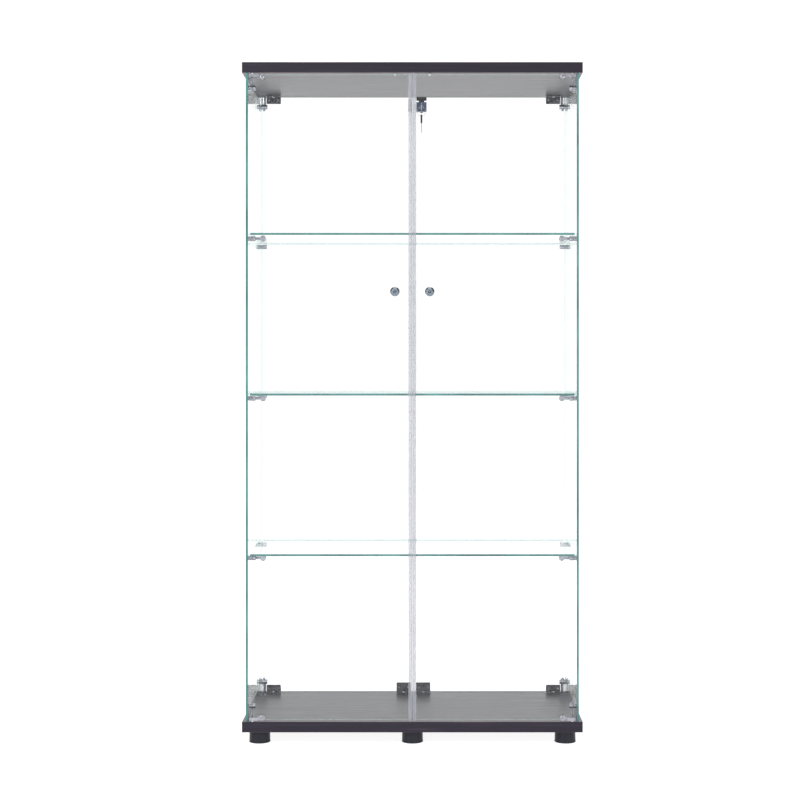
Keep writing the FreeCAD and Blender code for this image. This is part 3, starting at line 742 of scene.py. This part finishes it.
seal_low, seal_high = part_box("door_seal_right")
pane_low, pane_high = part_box("door_glass_right")
pvc = new_finish("seal_pvc", IOR=1.45, Specular_IOR_Level=0.25)
pvc_drift = speckle(pvc, (40.0, 40.0, 3.0), 4.0)
pvc_grain = speckle(pvc, (2200.0, 2200.0, 180.0), 2.0)
across = step(pvc, "ShaderNodeSeparateXYZ", {"Vector": place_in(pvc, (1.0, 1.0, 1.0))}).outputs["X"]
off_centre = step(pvc, "ShaderNodeMath", {0: across}, operation="ABSOLUTE").outputs["Value"]
thin_wall = 0.25
solid_web = 0.46
web_edge = 0.0002
cloudy = step(
    pvc,
    "ShaderNodeMapRange",
    {
        "Value": off_centre,
        "From Min": pane_low.x - web_edge,
        "From Max": pane_low.x + web_edge,
        "To Min": solid_web,
        "To Max": thin_wall,
    },
).outputs["Result"]
surface(
    pvc,
    Base_Color=shades(pvc, pvc_drift, [(0.3, (0.36, 0.37, 0.42, 1)), (0.7, (0.43, 0.44, 0.49, 1))]),
    Roughness=between(pvc, pvc_drift, 0.40, 0.55),
    Alpha=cloudy,
    Normal=bumps(pvc, pvc_grain, 0.00003, 0.5),
)


def drawn(name, outline, length, finish):
    """A mesh of one outline in X and Y, drawn out along +Z and closed at both ends."""
    shape = bmesh.new()
    bottom = [shape.verts.new((x, y, 0)) for x, y in outline]
    top = [shape.verts.new((x, y, length)) for x, y in outline]
    for number in range(len(outline)):
        after = (number + 1) % len(outline)
        shape.faces.new([bottom[number], bottom[after], top[after], top[number]])
    shape.faces.new(bottom[::-1])
    shape.faces.new(top)
    bmesh.ops.recalc_face_normals(shape, faces=shape.faces)
    mesh = bpy.data.meshes.new(name)
    shape.to_mesh(mesh)
    shape.free()
    mesh.materials.append(finish)
    return smooth(mesh)


def ring_eased(outline, radius, steps=3):
    """A closed outline with every corner rounded."""
    looped = eased([outline[-1]] + outline + [outline[0]], radius, steps)
    return looped[1:-1]


nose_half = 0.0015
nose_start = seal_low.x + 0.0012
middle_y = (pane_low.y + pane_high.y) / 2
for side in (-1, 1):
    hand = "right" if side > 0 else "left"
    outline = [
        (side * seal_high.x, seal_low.y),
        (side * seal_high.x, pane_low.y),
        (side * pane_low.x, pane_low.y),
        (side * pane_low.x, pane_high.y),
        (side * seal_high.x, pane_high.y),
        (side * seal_high.x, seal_high.y),
        (side * nose_start, seal_high.y),
        (side * nose_start, middle_y + nose_half),
        (side * seal_low.x, middle_y + nose_half),
        (side * seal_low.x, middle_y - nose_half),
        (side * nose_start, middle_y - nose_half),
        (side * nose_start, seal_low.y),
    ]
    strip = drawn("seal_strip", ring_eased(outline, 0.0004), seal_high.z - seal_low.z, pvc)
    at = (0, 0, seal_low.z)
    stand(f"seal_{hand}", strip, at, (0, 0, 1), hand + "_door", "door_seal_" + hand)

stop_low, stop_high = solids_of("door_stops")[0]
stop_radius = (stop_high.x - stop_low.x) / 2
stop_height = stop_high.z - stop_low.z
stop_profile = [
    (0.0, 0.0),
    (0.0, stop_radius),
    (stop_height - 0.0018, stop_radius),
    (stop_height - 0.0005, stop_radius - 0.0008),
    (stop_height, stop_radius - 0.0020),
    (stop_height, 0.0),
]
stop_mesh = turned("door_stop", eased(stop_profile, 0.0008), clear_pad, 48)
for number, (low, high) in enumerate(solids_of("door_stops")):
    middle = (low + high) / 2
    at = (middle.x, middle.y, high.z)
    stand(f"door_stop_{number}", stop_mesh, at, (0, 0, -1), "cabinet", "door_stops")

# ---------------------------------------------------------------- knobs
# Round knobs turned from steel bar: a foot on the glass, a slim neck and a flared head with a
# bevelled rim, a flat ring and a hollow centre. The cutting tool left fine rings on them. A
# screw and a clear washer hold each one from inside.

knob_metal = new_finish("knob_metal", Metallic=1.0)
knob_rings = step(
    knob_metal,
    "ShaderNodeTexWave",
    {"Vector": place_in(knob_metal, (1.0, 1.0, 1.0)), "Scale": 520.0, "Distortion": 0.6, "Detail": 2.0},
    wave_type="RINGS",
    rings_direction="Z",
).outputs["Fac"]
knob_cloud = speckle(knob_metal, (220.0, 220.0, 220.0), 4.0)
surface(
    knob_metal,
    Base_Color=shades(knob_metal, knob_cloud, [(0.3, (0.16, 0.19, 0.23, 1)), (0.7, (0.30, 0.35, 0.40, 1))]),
    Roughness=between(knob_metal, knob_cloud, 0.12, 0.22),
    Normal=bumps(knob_metal, knob_rings, 0.00003, 0.7),
)
knob_low, knob_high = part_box("knob_right")
knob_radius = (knob_high.x - knob_low.x) / 2
knob_length = knob_high.y - knob_low.y
knob_foot = 0.0075
knob_neck = 0.0055
rim_start = knob_length - 0.0052
bevel_start = knob_length - 0.0034
bevel_width = 0.0038
hollow_radius = 0.0042
hollow_depth = 0.0030
knob_profile = [
    (0.0, 0.0),
    (0.0, knob_foot - 0.0001),
    (0.0015, knob_foot),
    (0.0032, knob_neck + 0.0001),
    (knob_length * 0.45, knob_neck),
    (rim_start - 0.0016, knob_radius - 0.0024),
    (rim_start, knob_radius),
    (bevel_start, knob_radius),
    (knob_length, knob_radius - bevel_width),
    (knob_length, hollow_radius),
    (knob_length - hollow_depth, hollow_radius - hollow_depth),
    (knob_length - hollow_depth, 0.0),
]
knob_mesh = turned("turned_knob", eased(knob_profile, 0.0005, 3), knob_metal, 96)
knob_screw = screw_mesh("knob_screw", 0.0045, 0.0025, shank_radius=0.0020, shank_length=0.0120)
washer_hole = 0.0021
washer_radius = 0.0065
washer_thick = 0.0010
washer_profile = [
    (0.0, washer_hole),
    (0.0, washer_radius - 0.0003),
    (0.0003, washer_radius),
    (washer_thick - 0.0003, washer_radius),
    (washer_thick, washer_radius - 0.0003),
    (washer_thick, washer_hole),
    (0.0, washer_hole),
]
washer_mesh = turned("knob_washer", washer_profile, clear_pad, 48)
for side in ("left", "right"):
    low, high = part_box("knob_" + side)
    middle = (low + high) / 2
    body = side + "_door"
    at = (middle.x, high.y, middle.z)
    stand("turned_knob_" + side, knob_mesh, at, (0, -1, 0), body, "knob_" + side)
    low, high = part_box("knob_washer_" + side)
    at = (middle.x, low.y, middle.z)
    stand("clear_washer_" + side, washer_mesh, at, (0, 1, 0), body, "knob_washer_" + side)
    at = (middle.x, high.y, middle.z)
    stand("fixing_screw_" + side, knob_screw, at, (0, 1, 0), body, "knob_screw_" + side)

# ---------------------------------------------------------------- lock and keys
# A cam lock in a satin-plated zinc case on the right door. Its key turns the plug and the
# wide-headed cam behind the glass, which swings behind the folded keeper on the left door.
# The key carries a split ring with a black-headed spare.

lock_zinc = plated("lock_zinc", (0.055, 0.070, 0.110, 1), (0.120, 0.145, 0.200, 1), 0.26, 0.38, 0.00002)
plug_brass = plated("plug_brass", (0.11, 0.13, 0.17, 1), (0.20, 0.23, 0.28, 1), 0.22, 0.34)
cam_steel = plated("cam_steel", (0.008, 0.008, 0.011, 1), (0.022, 0.023, 0.028, 1), 0.24, 0.36)
keeper_zinc = plated("keeper_zinc", (0.80, 0.81, 0.84, 1), (0.93, 0.93, 0.95, 1), 0.20, 0.34)
key_steel = plated("key_steel", (0.26, 0.26, 0.28, 1), (0.42, 0.42, 0.45, 1), 0.16, 0.30)
key_plastic = new_finish("key_plastic", IOR=1.5)
key_grain = speckle(key_plastic, (1800.0, 1800.0, 1800.0), 2.0)
key_black = (0.006, 0.006, 0.008, 1)
key_grey = (0.014, 0.014, 0.017, 1)
surface(
    key_plastic,
    Base_Color=shades(key_plastic, key_grain, [(0.3, key_black), (0.7, key_grey)]),
    Roughness=between(key_plastic, key_grain, 0.34, 0.46),
    Normal=bumps(key_plastic, key_grain, 0.00004, 0.5),
)
soften(dress("lock_case", lock_zinc), 0.0006, 3)
soften(dress("lock_nut", lock_zinc), 0.0004, 2)
soften(dress("lock_cam", cam_steel), 0.0003, 2)
soften(dress("lock_keeper", keeper_zinc), 0.0003, 2)
soften(dress("lock_plug", plug_brass), 0.0002, 2)
soften(dress("key", key_steel), 0.0003, 2)
soften(dress("spare_key_head", key_plastic), 0.0009, 3)
cam_low, cam_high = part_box("cam_screw")
cam_head = 0.0020
cam_screw = screw_mesh("cam_fixing_screw", 0.0040, cam_head, shank_radius=0.0020, shank_length=0.0075)
cam_middle = (cam_low + cam_high) / 2
cam_spot = (cam_middle.x, cam_high.y - cam_head, cam_middle.z)
stand("cam_fixing", cam_screw, cam_spot, (0, 1, 0), "lock_cam_and_key", "cam_screw")

ring_low, ring_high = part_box("key_ring")
ring_centre = (ring_low + ring_high) / 2
wire = (ring_high.y - ring_low.y) / 4
ring_radius = (ring_high.x - ring_low.x) / 2 - wire
ring_shape = bpy.data.curves.new("split_ring", "CURVE")
ring_shape.dimensions = "3D"
ring_shape.bevel_depth = wire
ring_shape.bevel_resolution = 4
ring_shape.use_fill_caps = True
ring_shape.materials.append(key_steel)
coil = ring_shape.splines.new("POLY")
coil_steps = 144
coil_turns = 1.96
coil_start = 0.15
coil.points.add(coil_steps)
for number, point in enumerate(coil.points):
    turns = coil_turns * number / coil_steps
    angle = 2 * math.pi * (turns + coil_start)
    along = wire * (2 * number / coil_steps - 1)
    point.co = (ring_radius * math.cos(angle), along, ring_radius * math.sin(angle), 1)
split_ring = bpy.data.objects.new("split_ring", ring_shape)
bpy.context.scene.collection.objects.link(split_ring)
split_ring.location = ring_centre
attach(split_ring, "key_ring")
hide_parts("key_ring")

blade_low, blade_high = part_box("spare_key_blade")
blade_thick = blade_high.x - blade_low.x
blade_width = blade_high.y - blade_low.y
blade_length = blade_high.z - blade_low.z
cut_start = 0.0035
cut_pitch = 0.0024
cut_depths = (0.0010, 0.0017, 0.0008, 0.0014, 0.0019, 0.0011, 0.0015)
edge = blade_width / 2
blade_outline = [(0.0, -edge + 0.0014), (0.0012, -edge), (blade_length, -edge), (blade_length, edge)]
for number, depth in reversed(list(enumerate(cut_depths))):
    bottom = cut_start + number * cut_pitch
    blade_outline.append((bottom + cut_pitch * 0.85, edge))
    blade_outline.append((bottom + cut_pitch * 0.55, edge - depth))
    blade_outline.append((bottom + cut_pitch * 0.30, edge - depth))
blade_outline.append((cut_start, edge))
blade_outline.append((0.0, edge - 0.0020))
blade_mesh = drawn("cut_blade", blade_outline, blade_thick, key_steel)
swap_x_and_z = Matrix(((0, 0, 1, 0), (0, 1, 0, 0), (1, 0, 0, 0), (0, 0, 0, 1)))
blade_mesh.transform(swap_x_and_z)
blade_mesh.flip_normals()
blade_spot = (blade_low.x, (blade_low.y + blade_high.y) / 2, blade_low.z)
stand("spare_blade", blade_mesh, blade_spot, (0, 0, 1), "spare_key", "spare_key_blade")

# ---------------------------------------------------------------- studio
# A wide pale floor, a sky that is bright to the front and back and darker to the sides so that
# metal shows its shape, a large soft light at the front left, a smaller one at the front right
# and one overhead.

world = bpy.data.worlds.new("studio")
bpy.context.scene.world = world
world.use_nodes = True
sky = world.node_tree
for old in list(sky.nodes):
    sky.nodes.remove(old)


def sky_node(kind, inputs, **settings):
    """One node of the sky; each input is a plain value or the socket that feeds it."""
    made = sky.nodes.new(kind)
    for name, value in settings.items():
        setattr(made, name, value)
    for name, value in inputs.items():
        if isinstance(value, bpy.types.NodeSocket):
            sky.links.new(value, made.inputs[name])
        else:
            made.inputs[name].default_value = value
    return made


direction = sky_node("ShaderNodeTexCoord", {}).outputs["Generated"]
parts = sky_node("ShaderNodeSeparateXYZ", {"Vector": direction})
endwise = sky_node("ShaderNodeMath", {0: parts.outputs["Y"]}, operation="ABSOLUTE").outputs["Value"]
brightness = sky_node(
    "ShaderNodeMapRange",
    {"Value": endwise, "From Min": 0.25, "From Max": 0.85, "To Min": 0.20, "To Max": 1.12},
    interpolation_type="SMOOTHSTEP",
).outputs["Result"]
soft = sky_node("ShaderNodeBackground", {"Color": (1, 1, 1, 1), "Strength": brightness})
white = sky_node("ShaderNodeBackground", {"Color": (1, 1, 1, 1), "Strength": 1.1})
seen = sky_node("ShaderNodeLightPath", {}).outputs["Is Camera Ray"]
mixed_sky = sky_node("ShaderNodeMixShader", {"Fac": seen})
sky.links.new(soft.outputs["Background"], mixed_sky.inputs[1])
sky.links.new(white.outputs["Background"], mixed_sky.inputs[2])
sky.links.new(mixed_sky.outputs["Shader"], sky_node("ShaderNodeOutputWorld", {}).inputs["Surface"])

floor_finish = new_finish(
    "studio_floor",
    Base_Color=(0.40, 0.40, 0.40, 1),
    Roughness=0.8,
    Emission_Color=(1, 1, 1, 1),
    Emission_Strength=0.90,
)
floor_mesh = bpy.data.meshes.new("studio_floor")
reach = 40.0
floor_mesh.from_pydata(
    [(-reach, -reach, 0), (reach, -reach, 0), (reach, reach, 0), (-reach, reach, 0)], [], [(0, 1, 2, 3)]
)
floor_mesh.materials.append(floor_finish)
floor = bpy.data.objects.new("studio_floor", floor_mesh)
bpy.context.scene.collection.objects.link(floor)
clear_of_feet = 0.0002
floor.location.z = -clear_of_feet
floor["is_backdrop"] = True


def softbox(name, at, target, width, height, power):
    """A large rectangular light that faces target."""
    lamp = bpy.data.lights.new(name, "AREA")
    lamp.shape = "RECTANGLE"
    lamp.size = width
    lamp.size_y = height
    lamp.energy = power
    box = bpy.data.objects.new(name, lamp)
    bpy.context.scene.collection.objects.link(box)
    box.location = at
    box.rotation_euler = (Vector(target) - Vector(at)).to_track_quat("-Z", "Y").to_euler()
    return box


softbox("key_light", (-2.6, -2.8, 2.4), (0, 0, case_middle), width=1.6, height=2.4, power=70)
softbox("fill_light", (2.9, -2.2, 1.6), (0, 0, case_middle), width=1.2, height=2.0, power=30)
softbox("top_light", (0, 0.2, 4.2), (0, 0, 0), width=3.0, height=3.0, power=60)

eye_side = 0.030
eye_distance = 3.91
eye_height = 0.904
board_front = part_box("top_edge_band")[0].y
camera = bpy.data.cameras.new("camera")
camera.lens = 74.52
camera.sensor_width = 36.0
camera.shift_x = -0.0313
camera.shift_y = -0.0471
eye = bpy.data.objects.new("camera", camera)
bpy.context.scene.collection.objects.link(eye)
eye.location = (eye_side, board_front - eye_distance, eye_height)
eye.rotation_euler = (math.pi / 2, 0, 0)
bpy.context.scene.camera = eye
bpy.context.scene.view_settings.view_transform = "Standard"
bpy.context.scene.cycles.transparent_max_bounces = 32

low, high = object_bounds()
